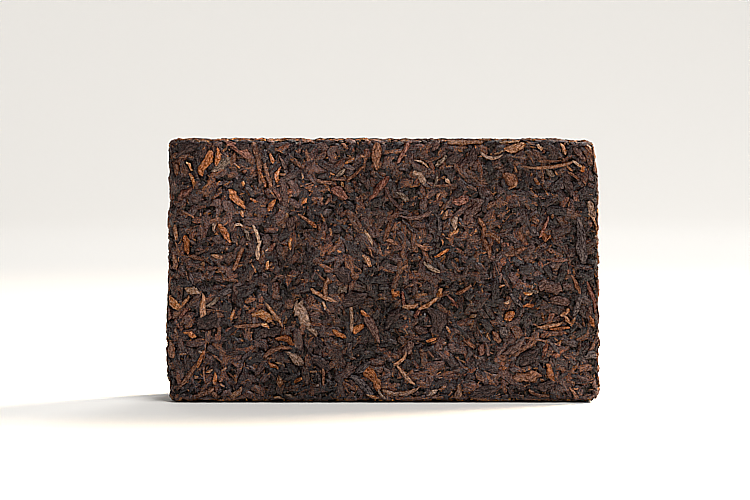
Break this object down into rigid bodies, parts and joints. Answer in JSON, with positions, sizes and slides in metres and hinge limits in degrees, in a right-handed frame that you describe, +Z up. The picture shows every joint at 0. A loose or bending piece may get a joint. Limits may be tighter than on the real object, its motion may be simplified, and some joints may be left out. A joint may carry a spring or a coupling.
{
  "type": "pressed tea brick",
  "caption": "Rectangular brick of pressed dark tea leaves with rounded edges and a rough leafy surface, standing on one long edge.",
  "frame": {"origin": "on the floor under the middle of the brick, which stands on one long edge", "axes": "+X along the brick, +Y through its thickness from the front to the back, +Z up"},
  "size_m": [0.1412, 0.025, 0.0855],
  "materials": {
    "pressed_tea": "pressed dry tea leaves, dark brown to near black with russet and tan pieces, dull with a slight sheen on the pressed ridges"
  },
  "bodies": {
    "root": {"tea_brick": "pressed_tea"}
  },
  "joints": []
}
